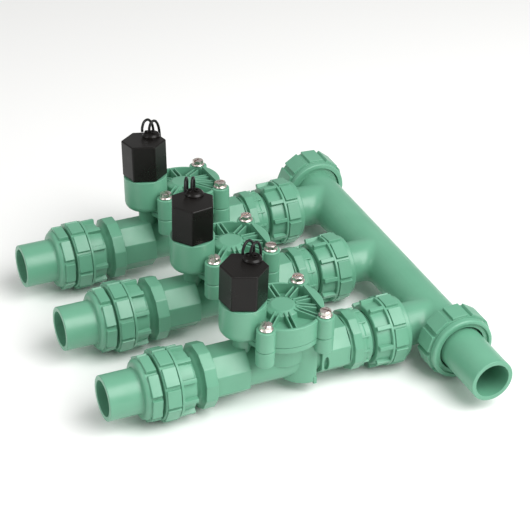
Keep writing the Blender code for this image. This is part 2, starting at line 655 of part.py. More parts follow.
def seal(name, parent, axis, station, outer=20.1, inner=PIPE_BORE + 2.0, thickness=2.2):
    mesh = turned(name, ring(outer, inner, station, station + thickness), axis, INNER)
    return part(name, mesh, parent, RUBBER, (HEADER_X, 0, 0))


# ---- assembly -----------------------------------------------------------
HEADER = empty("header_frame", (0, 0, 0), ROOT)
header_manifold("header_manifold", HEADER)
header_spigot("header_inlet_spigot", HEADER)
HEADER_LINE = empty("header_line", (HEADER_X, 0, 0), HEADER)
union_nut("header_inlet_nut", HEADER_LINE, "Y", FRONT_NUT_Y[1], FRONT_JOINT_Y - FLANGE_DEPTH - GAP,
          FRONT_NUT_Y[0], 18.2, HEADER_NUT_CLOCK, (-39.6, -23.0))
end_cap("header_end_cap", HEADER)
seal("end_cap_seal", HEADER, "Y", CAP_THREAD_Y + GAP)

for number, (roll, solenoid_turn) in enumerate(zip(VALVE_ROLLS, SOLENOID_TURNS), 1):
    frame = empty(f"valve_{number}_frame", (0, VALVE_PITCH * (number - 1), 0), ROOT, roll)
    tag = f"valve_{number}_"
    outlet_spigot(tag + "outlet_spigot", frame)
    union_nut(tag + "outlet_nut", frame, "X", OUTLET_NUT_X[0], OUTLET_JOINT_X + FLANGE_DEPTH + GAP,
              OUTLET_NUT_X[1], 17.7, OUTLET_NUT_CLOCKS[number - 1], (-97.4, -76.0))
    outlet_tailpiece(tag + "outlet_tailpiece", frame)
    valve_body(tag + "body", frame)
    bonnet(tag + "bonnet", frame)
    for screw_number, place in enumerate(LUGS, 1):
        bonnet_screw(f"{tag}bonnet_screw_{screw_number}", frame, place, 37 * screw_number + 20 * number)
    diaphragm(tag + "diaphragm", frame)
    poppet(tag + "poppet", frame)
    diaphragm_spring(tag + "diaphragm_spring", frame)
    solenoid(tag + "solenoid", frame, solenoid_turn)
    plunger(tag + "plunger", frame)
    for letter, route in LEAD_ROUTES.items():
        lead(f"{tag}lead_{letter}", frame, route, solenoid_turn - SOLENOID_TURNS[0])
    inlet_tailpiece(tag + "inlet_tailpiece", frame)
    union_nut(tag + "inlet_nut", frame, "X", INLET_NUT_X[1], INLET_JOINT_X - FLANGE_DEPTH - GAP,
              INLET_NUT_X[0], 17.9, INLET_NUT_CLOCKS[number - 1], (70.4, 92.6))
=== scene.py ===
"""Looks of an irrigation valve manifold: moulded pieces, leads, materials, light and camera.

Shapes are built in millimetres in one of two local frames, and carried to the row
frame by a matrix.  A valve's frame has X along its pipe, with its origin on the
pipe axis below the middle of the bonnet.  The header's frame has Y along the
header.  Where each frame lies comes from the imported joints.
"""
import json
import math

import bmesh
import bpy
import numpy as np
from mathutils import Matrix, Vector


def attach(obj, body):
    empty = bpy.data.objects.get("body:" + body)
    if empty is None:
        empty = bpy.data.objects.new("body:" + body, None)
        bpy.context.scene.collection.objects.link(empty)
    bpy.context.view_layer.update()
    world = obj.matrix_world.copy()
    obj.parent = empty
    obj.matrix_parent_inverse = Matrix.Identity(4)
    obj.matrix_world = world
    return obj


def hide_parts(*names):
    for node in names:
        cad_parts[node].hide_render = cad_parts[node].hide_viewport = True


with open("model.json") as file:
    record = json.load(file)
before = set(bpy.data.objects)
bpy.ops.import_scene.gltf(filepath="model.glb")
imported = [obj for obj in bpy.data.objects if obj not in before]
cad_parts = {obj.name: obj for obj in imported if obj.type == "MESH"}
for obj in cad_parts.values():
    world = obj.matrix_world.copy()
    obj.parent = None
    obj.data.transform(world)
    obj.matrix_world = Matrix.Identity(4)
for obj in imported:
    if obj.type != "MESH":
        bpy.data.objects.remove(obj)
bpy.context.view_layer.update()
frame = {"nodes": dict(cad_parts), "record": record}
JOINTS = {joint["name"]: joint for joint in frame["record"]["behaviour"]["joints"]}

# ---- sizes in millimetres, angles in degrees --------------------------------
PIPE_RADIUS = 16.7
PIPE_BORE = 13.2
HEADER_RADIUS = 17.0
TEE_RADIUS = 16.5
THREAD_RADIUS = 20.3
NUT_BORE = 20.7
NUT_RADIUS = 24.9
HEADER_NUT_RADIUS = 24.7
PAD_COUNT = 10                   # grip pads round every nut and cap
PAD_REACH = 26.2
PAD_FOOT = 22.8                  # blocks start inside the nut's wall
PAD_HALF_WIDTH = 6.9
HEADER_PAD_HALF_WIDTH = 6.4
RIB_REACH = 25.8
RIB_FOOT = 20.8
RIB_HALF_WIDTH = 1.7
RIB_CLOCK = 22.0                 # degrees from a pad to the next rib
FLOW_BORE = 11.0
NECK_RADIUS = 17.2               # tailpiece, where its union nut turns
BOSS_THREAD_RADIUS = 14.5
BOSS_BORE = 14.9
RING_SIDES = 12
BOSS_SIDES = 8
BOSS_RADIUS = 20.3
VALVE_PITCH = 92.0
OUTLET_NUT_STATION = -86.6       # where along its pipe an outlet nut's joint is placed
HEADER_NUT_STATION = -33.6
BONNET_RADIUS = 30.0
PARTING_Z = 28.0
BONNET_FOOT_Z = 28.3
RIM_Z = 44.2
SHELF_Z = 46.6
LUG_RADIUS = 7.0
LUG_FOOT_Z = 15.5
LUG_TOP_Z = 45.1
SCREW_BORE = 2.5
HUB_Z = 46.0
HUB_RADIUS = 13.0
SOLENOID_X = -30.9
STEM_RADIUS = 6.6                # column below the solenoid's cup
STEM_FOOT_Z = 8.0
DISH_Z = 38.2                    # the dish's floor on the bonnet's axis; it rises towards -Y
DISH_TILT = 6.5
CUP_RADIUS = 16.9
CUP_TOP_Z = 57.2
WELL_RADIUS = 13.6               # inside the cup
CAN_NECK_RADIUS = 12.6
CAN_FOOT_Z = 57.5
CAN_TOP_Z = 86.9
CAN_RADIUS = 17.6
GROMMET_PLACE = (6.0, 7.2)
LUGS = [(sx * 23.0, sy * 23.0) for sx in (-1, 1) for sy in (-1, 1)]
OUTLET_NUT_CLOCKS = (47.0, 44.0, 46.0)
INLET_NUT_CLOCKS = (57.0, 63.0, 60.0)
HEADER_NUT_CLOCK = 129.0
CAP_CLOCK = 123.0
COLLAR_CLOCK = 39.0
COLLAR_PADS = 8
SOLENOID_TURNS = (-21.6, 8.4, -21.2)

SEGMENTS = 96                    # round a large turned piece
ARC_STEPS = 4                    # along a rounded corner


# ---- shapes ----------------------------------------------------------------
def spin(axis, angle):
    return Matrix.Rotation(math.radians(angle), 4, axis)


AXIS_TURNS = {"Z": Matrix.Identity(4), "X": spin("Y", 90), "Y": spin("X", -90)}


def rounded(points):
    """(radius, station, corner radius) points become an outline with arcs at its corners."""
    outline = []
    for n, point in enumerate(points):
        here = Vector(point[:2])
        corner = point[2] if len(point) > 2 else 0.0
        if corner == 0.0:
            outline.append(here)
            continue
        back = (Vector(points[n - 1][:2]) - here).normalized()
        on = (Vector(points[(n + 1) % len(points)][:2]) - here).normalized()
        half = back.angle(on) / 2
        centre = here + (back + on).normalized() * corner / math.sin(half)
        first = here + back * corner / math.tan(half) - centre
        last = here + on * corner / math.tan(half) - centre
        sweep = first.angle(last)
        for step in range(ARC_STEPS + 1):
            part = step / ARC_STEPS
            outline.append(centre + (first * math.sin((1 - part) * sweep)
                                     + last * math.sin(part * sweep)) / math.sin(sweep))
    return outline


def mesh_from(build):
    mesh = bpy.data.meshes.new("shape")
    build.to_mesh(mesh)
    build.free()
    return mesh


def turned(points, axis="Z", centre=(0, 0, 0), segments=SEGMENTS):
    """A closed body turned about an axis; points at radius 0 lie on it."""
    build = bmesh.new()
    outline = rounded(points)
    ring = [build.verts.new((point.x, 0, point.y)) for point in outline]
    edges = [build.edges.new((ring[n - 1], ring[n])) for n in range(len(ring))
             if outline[n - 1].x > 0 or outline[n].x > 0]
    bmesh.ops.spin(build, geom=ring + edges, cent=(0, 0, 0), axis=(0, 0, 1), angle=2 * math.pi,
                   steps=segments, use_merge=True)
    bmesh.ops.remove_doubles(build, verts=build.verts, dist=0.0005)
    bmesh.ops.recalc_face_normals(build, faces=build.faces)
    bmesh.ops.transform(build, matrix=Matrix.Translation(centre) @ AXIS_TURNS[axis], verts=build.verts)
    return mesh_from(build)


def rod(radius, low, high, axis="Z", centre=(0, 0, 0), corner=0.0, segments=SEGMENTS):
    """A cylinder between two stations, with its rims rounded."""
    outline = [(0, high), (radius, high, corner), (radius, low, corner), (0, low)]
    return turned(outline, axis, centre, segments)


def prism(outline, low, high, axis="Z", corner=0.0, place=None, steps=2):
    """A flat outline stretched along an axis; corner rounds every edge that is sharper than 25 degrees."""
    build = bmesh.new()
    face = build.faces.new([build.verts.new((x, y, low)) for x, y in outline])
    top = bmesh.ops.extrude_face_region(build, geom=[face])["geom"]
    lifted = [item for item in top if isinstance(item, bmesh.types.BMVert)]
    bmesh.ops.translate(build, vec=(0, 0, high - low), verts=lifted)
    bmesh.ops.recalc_face_normals(build, faces=build.faces)
    if corner:
        sharp = [edge for edge in build.edges if edge.calc_face_angle(0) > math.radians(25)]
        bmesh.ops.bevel(build, geom=sharp, offset=corner, segments=steps, profile=0.5, affect="EDGES",
                        clamp_overlap=True)
    bmesh.ops.transform(build, matrix=(place or Matrix.Identity(4)) @ AXIS_TURNS[axis], verts=build.verts)
    return mesh_from(build)


def slab(low, high, corner=0.0, place=None):
    """A block between two opposite corners."""
    outline = [(low[0], low[1]), (high[0], low[1]), (high[0], high[1]), (low[0], high[1])]
    return prism(outline, low[2], high[2], "Z", corner, place)


def polygon(radius, sides, turn=0.0):
    return [(radius * math.cos(math.radians(turn + 360 / sides * n)),
             radius * math.sin(math.radians(turn + 360 / sides * n))) for n in range(sides)]


def carve(base, joins=(), cuts=(), keep=()):
    """Joins closed meshes to a base, cuts others out of it, then keeps only what lies in the last ones."""
    target = bpy.data.objects.new("carved", base)
    bpy.context.scene.collection.objects.link(target)
    helpers = []
    for kind, meshes in (("UNION", joins), ("DIFFERENCE", cuts), ("INTERSECT", keep)):
        for mesh in meshes:
            helper = bpy.data.objects.new("helper", mesh)
            bpy.context.scene.collection.objects.link(helper)
            helpers.append(helper)
            step = target.modifiers.new("step", "BOOLEAN")
            step.operation = kind
            step.object = helper
            step.solver = "EXACT"
    result = bpy.data.meshes.new_from_object(target.evaluated_get(bpy.context.evaluated_depsgraph_get()))
    for used in [target, *helpers]:
        data = used.data
        bpy.data.objects.remove(used, do_unlink=True)
        bpy.data.meshes.remove(data)
    return result


# ---- materials -------------------------------------------------------------
NOISE_LOW, NOISE_HIGH = 0.3, 0.7  # where nearly all of a noise texture's values lie


def shader_material(name):
    made = bpy.data.materials.new(name)
    made.use_nodes = True
    nodes, links = made.node_tree.nodes, made.node_tree.links
    return made, nodes, links, nodes["Principled BSDF"]


def noise(nodes, links, coordinates, scale, detail, stretch=(1, 1, 1)):
    mapping = nodes.new("ShaderNodeMapping")
    mapping.inputs["Scale"].default_value = stretch
    links.new(coordinates, mapping.inputs["Vector"])
    made = nodes.new("ShaderNodeTexNoise")
    made.inputs["Scale"].default_value = scale
    made.inputs["Detail"].default_value = detail
    links.new(mapping.outputs["Vector"], made.inputs["Vector"])
    return made.outputs["Fac"]


def ramp(nodes, links, factor, low, high):
    """A colour between two others, as a noise goes from low to high."""
    made = nodes.new("ShaderNodeValToRGB")
    for element, position, colour in zip(made.color_ramp.elements, (NOISE_LOW, NOISE_HIGH), (low, high)):
        element.position = position
        element.color = (*colour, 1)
    links.new(factor, made.inputs["Fac"])
    return made.outputs["Color"]


def spread(nodes, links, factor, low, high):
    """A value between two others, as a noise goes from low to high."""
    made = nodes.new("ShaderNodeMapRange")
    made.inputs["From Min"].default_value = NOISE_LOW
    made.inputs["From Max"].default_value = NOISE_HIGH
    made.inputs["To Min"].default_value = low
    made.inputs["To Max"].default_value = high
    links.new(factor, made.inputs["Value"])
    return made.outputs["Result"]


def bump(nodes, links, height, strength, distance, normal=None):
    made = nodes.new("ShaderNodeBump")
    made.inputs["Strength"].default_value = strength
    made.inputs["Distance"].default_value = distance
    links.new(height, made.inputs["Height"])
    if normal is not None:
        links.new(normal, made.inputs["Normal"])
    return made.outputs["Normal"]


def moulded_plastic(name, dark, light, roughness, grain, crease=0.0, shine=0.5):
    """Semi-gloss moulded plastic: cloudy pigment, uneven gloss, a fine spark-eroded skin.

    grain is the skin's noise scale, crease the radius that shading gives to sharp edges, in metres.
    """
    made, nodes, links, shader = shader_material(name)
    place = nodes.new("ShaderNodeTexCoord").outputs["Object"]
    cloud = noise(nodes, links, place, 28.0, 4.0)
    links.new(ramp(nodes, links, cloud, dark, light), shader.inputs["Base Color"])
    shader.inputs["Specular IOR Level"].default_value = shine
    patches = noise(nodes, links, place, 90.0, 3.0)
    links.new(spread(nodes, links, patches, *roughness), shader.inputs["Roughness"])
    rounding = None
    if crease:
        edge = nodes.new("ShaderNodeBevel")
        edge.samples = 4
        edge.inputs["Radius"].default_value = crease
        rounding = edge.outputs["Normal"]
    skin = noise(nodes, links, place, grain, 2.0)
    ripple = bump(nodes, links, cloud, 0.15, 0.0006, rounding)
    links.new(bump(nodes, links, skin, 0.12, 0.00008, ripple), shader.inputs["Normal"])
    return made


def metal(name, dark, light, roughness, stretch):
    """Drawn or ground metal with fine scratches along one direction."""
    made, nodes, links, shader = shader_material(name)
    place = nodes.new("ShaderNodeTexCoord").outputs["Object"]
    scratch = noise(nodes, links, place, 900.0, 4.0, stretch)
    links.new(ramp(nodes, links, scratch, dark, light), shader.inputs["Base Color"])
    links.new(spread(nodes, links, scratch, *roughness), shader.inputs["Roughness"])
    shader.inputs["Metallic"].default_value = 1.0
    links.new(bump(nodes, links, scratch, 0.2, 0.00005), shader.inputs["Normal"])
    return made


GREEN = moulded_plastic("moulded_green", (0.112, 0.318, 0.205), (0.136, 0.356, 0.234), (0.30, 0.42),
                        grain=1500.0, crease=0.0004)
BLACK = moulded_plastic("moulded_black", (0.0050, 0.0043, 0.0038), (0.0080, 0.0070, 0.0062), (0.26, 0.36),
                        grain=2200.0, crease=0.0003, shine=0.22)
JACKET = moulded_plastic("lead_jacket_black", (0.004, 0.004, 0.004), (0.008, 0.008, 0.008), (0.38, 0.5),
                         grain=1600.0, shine=0.3)
RUBBER = moulded_plastic("soft_rubber", (0.016, 0.016, 0.016), (0.026, 0.026, 0.026), (0.7, 0.85),
                         grain=1100.0)
STEEL = metal("plated_steel", (0.60, 0.52, 0.49), (0.86, 0.78, 0.74), (0.22, 0.38), (1, 1, 0.2))
WIRE = metal("spring_wire", (0.50, 0.50, 0.51), (0.66, 0.66, 0.67), (0.2, 0.34), (1, 1, 1))
IRON = metal("ground_iron", (0.42, 0.42, 0.43), (0.56, 0.56, 0.57), (0.2, 0.32), (0.1, 0.1, 1))


# ---- pieces ----------------------------------------------------------------
MILLIMETRE = Matrix.Scale(0.001, 4)


def piece(name, mesh, matrix, body, node, look, sharp=32.0):
    """Puts a shape in millimetres into the row frame and lets it stand for a CAD node."""
    mesh = mesh.copy()
    mesh.transform(matrix @ MILLIMETRE)
    mesh.materials.clear()
    mesh.materials.append(look)
    mesh.shade_smooth()
    mesh.set_sharp_from_angle(angle=math.radians(sharp))
    made = bpy.data.objects.new(name, mesh)
    bpy.context.scene.collection.objects.link(made)
    flats = made.modifiers.new("flats", "WEIGHTED_NORMAL")
    flats.keep_sharp = True
    flats.weight = 80
    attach(made, body)
    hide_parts(node)


def outlet_spigot():
    """The plain pipe end, with its collar of eight pads and the thread behind it."""
    shell = turned([
        (THREAD_RADIUS, -85.3, 0.5), (THREAD_RADIUS, -99.8), (22.3, -99.8, 0.7), (22.3, -111.6, 3.4),
        (PIPE_RADIUS, -111.6, 1.0), (PIPE_RADIUS, -136.5, 0.6), (PIPE_BORE, -136.5, 0.4),
        (PIPE_BORE, -85.3)], "X")
    pads = [slab((-107.8, -23.9, -7.9), (-100.1, -19.0, 7.9), 0.7,
                 spin("X", -COLLAR_CLOCK - 360 / COLLAR_PADS * n)) for n in range(COLLAR_PADS)]
    return carve(shell, pads)


def grip_slabs(axis, clock, stations, reach, foot, half_width, corner=0.7):
    """Equal blocks round a nut; the clock starts at -Y on an X nut and at +X on a Y nut."""
    for n in range(PAD_COUNT):
        angle = clock + 360 / PAD_COUNT * n
        if axis == "X":
            low, high = (stations[0], -reach, -half_width), (stations[1], -foot, half_width)
            yield slab(low, high, corner, spin("X", -angle))
        else:
            low, high = (foot, stations[0], -half_width), (reach, stations[1], half_width)
            yield slab(low, high, corner, spin("Y", -angle))


def valve_nut(profile, pad_stations, rib_stations):
    """A union nut: raised pads at its open half, deep pockets between ribs at its captured half."""
    pads = grip_slabs("X", 0.0, pad_stations, PAD_REACH, PAD_FOOT, PAD_HALF_WIDTH)
    ribs = grip_slabs("X", RIB_CLOCK, rib_stations, RIB_REACH, RIB_FOOT, RIB_HALF_WIDTH, 0.5)
    return carve(turned(profile, "X"), [*pads, *ribs])


def outlet_nut():
    profile = [
        (NUT_BORE, -98.2, 0.3), (NUT_RADIUS, -98.2, 0.9), (NUT_RADIUS, -86.4), (26.0, -86.4, 0.3),
        (26.0, -84.5, 0.4), (23.2, -84.2, 0.3), (22.2, -73.6, 1.2), (17.7, -73.6, 0.4), (17.7, -81.7),
        (NUT_BORE, -81.7)]
    return valve_nut(profile, (-97.3, -86.9), (-85.0, -74.0))


def inlet_nut():
    profile = [
        (17.9, 68.6, 0.4), (22.4, 68.6, 1.2), (23.2, 79.4, 0.3), (26.0, 79.7, 0.4), (26.0, 81.5, 0.3),
        (NUT_RADIUS, 81.5), (NUT_RADIUS, 92.8, 0.4), (23.6, 93.2, 0.4), (23.6, 97.0, 1.0),
        (NUT_BORE, 97.0, 0.3), (NUT_BORE, 80.6), (17.9, 80.6)]
    return valve_nut(profile, (82.0, 92.4), (69.0, 80.2))


def neck_ribs(stations, reach, clock, count=12):
    """Small ribs between the wrench ring and the shoulder of an inlet tailpiece."""
    return [slab((stations[0], -reach, -0.8), (stations[1], -18.5, 0.8), 0.3,
                 spin("X", -clock - 360 / count * n)) for n in range(count)]


def wrench_ring(radius, low, high):
    """A ring of flats for a wrench, with a flat at the top."""
    return prism(polygon(radius, RING_SIDES, 180 / RING_SIDES), low, high, "X", 0.7)


def outlet_tailpiece():
    shell = turned([
        (BOSS_THREAD_RADIUS, -39.0), (BOSS_THREAD_RADIUS, -58.7), (20.2, -58.7), (23.4, -61.0, 1.0),
        (23.4, -67.0, 0.8), (19.6, -69.2, 1.4), (NECK_RADIUS, -71.6, 1.2), (NECK_RADIUS, -82.0),
        (THREAD_RADIUS, -82.0, 0.3), (THREAD_RADIUS, -85.0, 0.3), (FLOW_BORE, -85.0),
        (FLOW_BORE, -39.0)], "X")
    return carve(shell, [wrench_ring(24.6, -67.4, -58.1)])


def inlet_tailpiece():
    shell = turned([
        (BOSS_THREAD_RADIUS, 31.5), (BOSS_THREAD_RADIUS, 48.7), (19.2, 48.7), (19.2, 51.0), (21.4, 51.0),
        (21.4, 60.5, 1.2), (20.3, 61.5, 0.6), (20.3, 65.6, 0.8), (NECK_RADIUS, 67.4, 0.6),
        (NECK_RADIUS, 80.4), (THREAD_RADIUS, 80.4, 0.3), (THREAD_RADIUS, 83.1, 0.3), (FLOW_BORE, 83.1),
        (FLOW_BORE, 31.5)], "X")
    return carve(shell, [wrench_ring(22.9, 50.5, 57.6), *neck_ribs((57.0, 63.6), 21.9, 5.0)])


def rods_at_lugs(radius, low, high, corner, segments):
    return [rod(radius, low, high, centre=(*lug, 0), corner=corner, segments=segments) for lug in LUGS]


def drum_outline():
    """The drum under the bonnet: a circle with a flat towards the inlet."""
    radius, centre, flat = 19.0, 17.5, 4.0
    half_angle = math.acos(flat / radius)
    return [(centre + radius * math.cos(angle), radius * math.sin(angle))
            for angle in np.linspace(half_angle, 2 * math.pi - half_angle, 49)]


def side_recess():
    """The upright oval hole in the near side of the inlet boss."""
    oval = [(2.1 * math.cos(angle), 6.2 * math.sin(angle)) for angle in np.linspace(0, 2 * math.pi, 33)[:-1]]
    return prism(oval, -24, -15.4, "Y", place=Matrix.Translation((29.0, 0, -3.0)))


def valve_body():
    pipe = rod(16.3, -35.0, 26.5, "X")
    octagon = polygon(BOSS_RADIUS, BOSS_SIDES, 180 / BOSS_SIDES)
    bowl = turned([(0, PARTING_Z), (BONNET_RADIUS, PARTING_Z, 0.5), (BONNET_RADIUS, 23.6, 0.8),
                   (19.5, 22.6, 1.2), (19.5, 3.0, 1.5), (0, 3.0)])
    joins = [
        prism(octagon, -57.2, -31.0, "X", 0.6), prism(octagon, 25.2, 48.4, "X", 0.6), bowl,
        prism(drum_outline(), -16.5, 24.4, "Z", 0.8), slab((18.9, -19.4, -18.0), (21.6, -15.0, -12.0), 0.4),
        rod(STEM_RADIUS, STEM_FOOT_Z, PARTING_Z, centre=(SOLENOID_X, 0, 0), segments=48),
        slab((SOLENOID_X, -2.0, STEM_FOOT_Z), (-17.0, 2.0, 26.5), 0.5),
        *rods_at_lugs(LUG_RADIUS, LUG_FOOT_Z, PARTING_Z, 0.9, 48)]
    chamber = turned([(0, 33.0), (27.3, 33.0), (27.3, 26.1), (17.0, 26.1), (17.0, 12.5), (12.6, 12.5),
                      (12.6, 17.0, 0.8), (9.6, 17.0, 0.8), (9.6, 2.0), (0, 2.0)], segments=48)
    cuts = [chamber, rod(FLOW_BORE, -60, 5, "X", segments=48), rod(FLOW_BORE, 14, 60, "X", segments=48),
            slab((13.8, -9, -4), (18.6, 9, 20)), rod(BOSS_BORE, -60, -38.4, "X", segments=64),
            rod(BOSS_BORE, 30.8, 60, "X", segments=64), side_recess(),
            *rods_at_lugs(SCREW_BORE, 17.0, 33, 0.0, 16)]
    return carve(pipe, joins, cuts)


def rib_pair(angle, outer, drop):
    """Two thin ribs side by side, from the hub's top to the rim; outer is how far out they reach."""
    foot, half_gap, width = 35.0, 1.75, 1.25
    for side in (-half_gap, half_gap):
        build = bmesh.new()
        for corner in bmesh.ops.create_cube(build, size=1.0)["verts"]:
            outward, upper = corner.co.x > 0, corner.co.z > 0
            top = RIM_Z - drop if outward else HUB_Z - 0.4
            corner.co = (outer if outward else HUB_RADIUS - 3.0, side + corner.co.y * width,
                         top if upper else foot)
        long_edges = [edge for edge in build.edges if all(end.co.z > foot + 1 for end in edge.verts)
                      and abs(edge.verts[0].co.x - edge.verts[1].co.x) > 5]
        bmesh.ops.bevel(build, geom=long_edges, offset=0.35, segments=2, profile=0.5, affect="EDGES")
        bmesh.ops.transform(build, matrix=spin("Z", angle), verts=build.verts)
        yield mesh_from(build)


def bonnet_ledge():
    """The raised part of the rim towards the inlet."""
    block = turned([(0, SHELF_Z), (BONNET_RADIUS, SHELF_Z, 1.0), (BONNET_RADIUS, RIM_Z - 3), (0, RIM_Z - 3)])
    return carve(block, keep=[slab((22.6, -15.0, 20.0), (40.0, 15.0, 60.0), 0.8)])


def bonnet_dish():
    """The hollow between hub and rim; its floor slopes and it leaves the ledge standing."""
    hollow = turned([(27.8, 51.0), (27.8, 30.0), (HUB_RADIUS - 1.5, 30.0), (HUB_RADIUS - 1.5, 51.0)])
    sloping = Matrix.Translation((0, 0, DISH_Z)) @ spin("X", -DISH_TILT)
    return carve(hollow, cuts=[slab((23.4, -14.4, 20.0), (40.0, 14.4, 60.0))],
                 keep=[slab((-40, -40, 0), (40, 40, 30), place=sloping)])


def bonnet():
    base = turned([(0, RIM_Z), (BONNET_RADIUS, RIM_Z, 0.9), (BONNET_RADIUS, BONNET_FOOT_Z, 0.5),
                   (0, BONNET_FOOT_Z)])
    lugs = rods_at_lugs(LUG_RADIUS, BONNET_FOOT_Z, LUG_TOP_Z, 0.7, 48)
    base = carve(base, [*lugs, bonnet_ledge()], [bonnet_dish()])
    hub = turned([(0, HUB_Z - 0.3), (8.2, HUB_Z - 0.3, 1.2), (HUB_RADIUS - 0.4, HUB_Z - 2.4, 1.4),
                  (HUB_RADIUS + 1.0, 34.0), (0, 34.0)])
    cup = turned([(0, CUP_TOP_Z), (CUP_RADIUS, CUP_TOP_Z, 0.5), (CUP_RADIUS, 30.2, 5.6),
                  (STEM_RADIUS, 30.2, 0.8), (STEM_RADIUS, BONNET_FOOT_Z), (0, BONNET_FOOT_Z)],
                 centre=(SOLENOID_X, 0, 0))
    ribs = []
    for angle, outer in ((-134, 26.9), (-96, 28.4), (-46, 26.9), (44, 26.9), (84, 28.4), (134, 26.9)):
        ribs += rib_pair(angle, outer, 0.5)
    for angle in (-21, 8):
        ribs += rib_pair(angle, 24.5, 0.2)
    cavity = turned([(0, 43.4), (10.6, 43.4), (10.6, 33.6), (21.5, 33.6), (21.5, 25.3), (0, 25.3)],
                    segments=48)
    well = turned([(0, 62.0), (WELL_RADIUS, 62.0), (WELL_RADIUS, 38.0), (2.0, 38.0), (2.0, 25.2), (0, 25.2)],
                  centre=(SOLENOID_X, 0, 0), segments=48)
    holes = rods_at_lugs(SCREW_BORE, 24.0, 50.0, 0.0, 16)
    return carve(base, [hub, cup, *ribs], [cavity, well, *holes])


def bonnet_screw():
    """A slotted hex head on a pressed washer, standing on the lug it clamps."""
    seat = LUG_TOP_Z + 0.3
    washer = turned([(0, seat + 1.4), (4.4, seat + 1.4, 0.3), (5.2, seat + 0.6, 0.3), (5.2, seat, 0.2),
                     (2.1, seat), (2.1, LUG_FOOT_Z + 3), (0, LUG_FOOT_Z + 3)], segments=40)
    head = prism(polygon(4.6, 6), seat + 0.8, seat + 4.6, "Z", 0.45)
    dome = turned([(0, seat + 4.9), (3.0, seat + 4.7, 1.0), (5.0, seat + 3.6), (5.0, seat), (0, seat)],
                  segments=40)
    slot = slab((-6, -0.7, seat + 3.0), (6, 0.7, seat + 9.0))
    return carve(washer, [carve(head, keep=[dome])], [slot])


# ---- solenoid and leads: the leads' routes are in metres from the axis of the first solenoid ----
LEAD_DIAMETER = 0.0021
LEAD_POINTS = {
    "a": ((0.0026, 0.0086, 0.0898), (0.0028, 0.0090, 0.0930), (0.0052, 0.0106, 0.0970),
          (0.0096, 0.0132, 0.0970), (0.0134, 0.0154, 0.0920), (0.0148, 0.0164, 0.0840),
          (0.0146, 0.0166, 0.0740), (0.0138, 0.0162, 0.0630)),
    "b": ((0.0076, 0.0066, 0.0898), (0.0080, 0.0070, 0.0930), (0.0102, 0.0082, 0.0966),
          (0.0142, 0.0102, 0.0962), (0.0172, 0.0118, 0.0910), (0.0184, 0.0126, 0.0830),
          (0.0184, 0.0126, 0.0730), (0.0180, 0.0122, 0.0620)),
}
LEAD_EXITS = [(points[0][0] * 1000, points[0][1] * 1000, 0) for points in LEAD_POINTS.values()]


def solenoid():
    """Hexagonal can, the neck that screws into the cup, and the grommet with a sleeve for each lead."""
    can = prism(polygon(CAN_RADIUS, 6), CAN_FOOT_Z, CAN_TOP_Z, "Z", 1.1, steps=3)
    neck = rod(CAN_NECK_RADIUS, 38.6, 61.0, corner=0.6, segments=64)
    grommet = turned([(0, 89.5), (5.6, 89.5, 0.8), (7.0, 88.0, 0.6), (7.0, 80.0), (0, 80.0)],
                     centre=(*GROMMET_PLACE, 0), segments=48)
    sleeves = [rod(1.75, 85.0, 90.6, centre=place, corner=0.3, segments=24) for place in LEAD_EXITS]
    sockets = [rod(1.15, 89.0, 95.0, centre=place, segments=24) for place in LEAD_EXITS]
    bore = rod(4.9, 30.0, 76.0, segments=32)
    return carve(can, [neck, grommet, *sleeves], [bore, *sockets])


def smooth_route(points, per_span):
    """Catmull-Rom curve through the route's points."""
    line = [Vector(point) for point in points]
    line = [2 * line[0] - line[1], *line, 2 * line[-1] - line[-2]]
    smooth = []
    for n in range(1, len(line) - 2):
        before, here, there, after = line[n - 1:n + 3]
        for step in range(per_span):
            t = step / per_span
            square = 2 * before - 5 * here + 4 * there - after
            cube = 3 * here - before - 3 * there + after
            smooth.append(0.5 * (2 * here + (there - before) * t + square * t ** 2 + cube * t ** 3))
    return smooth + [line[-2]]


def lead(name, letter, matrix, body, node):
    points = [matrix @ point for point in smooth_route(LEAD_POINTS[letter], 4)]
    curve = bpy.data.curves.new(name, "CURVE")
    curve.dimensions = "3D"
    curve.bevel_depth = LEAD_DIAMETER / 2
    curve.bevel_resolution = 4
    curve.use_fill_caps = True
    path = curve.splines.new("POLY")
    path.points.add(len(points) - 1)
    for target, point in zip(path.points, points):
        target.co = (*point, 1)
    path.use_smooth = True
    curve.materials.append(JACKET)
    made = bpy.data.objects.new(name, curve)
    bpy.context.scene.collection.objects.link(made)
    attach(made, body)
    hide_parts(node)
    length = sum((there - here).length for here, there in zip(points, points[1:]))
    tuple(points[0])


# ---- header ----------------------------------------------------------------
TEES = [VALVE_PITCH * n for n in range(3)]
BLEND = 9.0                      # how far the fillets between tees and header reach


def header_distance(points):
    """Signed distance to the header and its tees, blended where their surfaces meet at an angle."""
    x, y, z = points.T
    header = np.hypot(x, z)
    result = header - HEADER_RADIUS
    header_out = np.stack([x, np.zeros_like(x), z], 1) / header[:, None]
    for station in TEES:
        across = np.sqrt((y - station) ** 2 + z ** 2 + np.maximum(x, 0) ** 2)
        tee = across - TEE_RADIUS
        tee_out = np.stack([np.maximum(x, 0), y - station, z], 1) / np.maximum(across, 1e-6)[:, None]
        reach = BLEND * (1 - np.maximum((header_out * tee_out).sum(1), 0)) + 1e-6
        overlap = np.maximum(reach - np.abs(result - tee), 0) / reach
        result = np.minimum(result, tee) - overlap ** 2 * reach / 4
    return result


